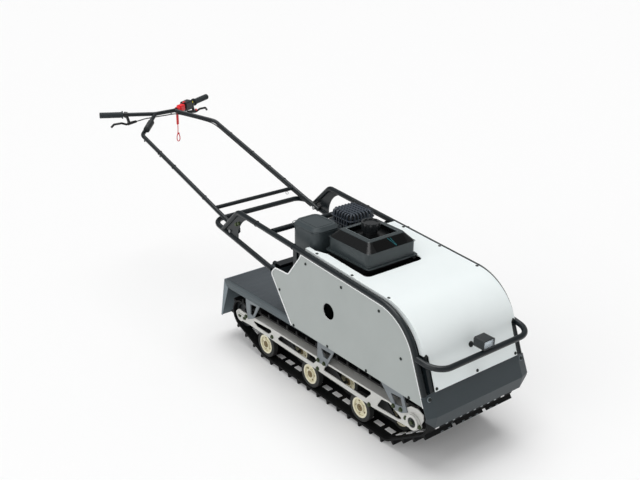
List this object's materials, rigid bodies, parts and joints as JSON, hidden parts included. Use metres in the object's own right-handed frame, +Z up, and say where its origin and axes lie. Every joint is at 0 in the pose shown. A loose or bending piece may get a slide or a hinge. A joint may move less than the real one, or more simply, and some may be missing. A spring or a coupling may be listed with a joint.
{
  "type": "tracked snow tug",
  "caption": "Walk-behind motor tug on one wide rubber track, with a boxed body, front bumper, rear deck and a long handlebar that folds forward over the hood.",
  "frame": {"origin": "on the ground under the middle of the whole machine", "axes": "+X forward, +Y to the machine's left, +Z up"},
  "size_m": [2.6078, 0.6982, 0.9369],
  "materials": {
    "moulded_black": "matte moulded plastic",
    "deck_slate": "satin powder coat",
    "plate_aluminium": "brushed sheet",
    "lever_black": "satin black",
    "frame_slate": "satin powder coat",
    "shaft_steel": "turned steel",
    "mat_rubber": "ribbed mat",
    "engine_black": "satin black",
    "tank_black": "semi-gloss plastic",
    "grip_rubber": "ribbed rubber",
    "lens_clear": "clear",
    "hood_white": "satin powder coat",
    "cord_red": "matte cord",
    "bracket_slate": "satin powder coat",
    "panel_grey": "satin powder coat",
    "switch_red": "gloss plastic",
    "track_rubber": "matte moulded rubber",
    "clip_steel": "pressed steel",
    "wheel_cream": "satin moulded plastic",
    "wheel_rubber": "matte rubber"
  },
  "bodies": {
    "chassis": {"air_filter": "moulded_black", "apron": "deck_slate", "bearing_housings": "plate_aluminium", "bumper": "frame_slate", "cross_shafts": "shaft_steel", "deck_mat": "mat_rubber", "drive_sprockets": "moulded_black", "engine_block": "engine_black", "frame_gussets": "frame_slate", "frame_pillars": "frame_slate", "frame_rails": "frame_slate", "fuel_cap": "tank_black", "fuel_tank": "tank_black", "headlight": "moulded_black", "headlight_lens": "lens_clear", "hood": "hood_white", "hood_surround": "moulded_black", "idler_wheels": "moulded_black", "latch_knob": "moulded_black", "muffler": "engine_black", "muffler_guard": "moulded_black", "panel_holders": "frame_slate", "pivot_bolts": "shaft_steel", "plate_brackets": "bracket_slate", "rear_bulkhead": "deck_slate", "rear_cross_members": "frame_slate", "rear_flap": "deck_slate", "rear_loop": "frame_slate", "rocker_arms": "bracket_slate", "side_panels": "panel_grey", "slide_plates": "plate_aluminium", "track": "track_rubber", "track_clips": "clip_steel", "tunnel": "deck_slate", "wheel_discs": "wheel_cream", "wheel_tyres": "wheel_rubber"},
    "handlebar": {"bar_controls": "moulded_black", "brake_levers": "lever_black", "grips": "grip_rubber", "handlebar_arms": "frame_slate", "handlebar_bar": "frame_slate", "lanyard_tag": "cord_red", "stop_lanyard": "cord_red", "stop_switch": "switch_red"}
  },
  "joints": [
    {"name": "handlebar_fold", "type": "hinge", "parent": "chassis", "child": "handlebar", "pos_m": [-0.1066, 0, 0.6075], "axis": [0, 1, 0], "range_deg": [0, 138]}
  ]
}
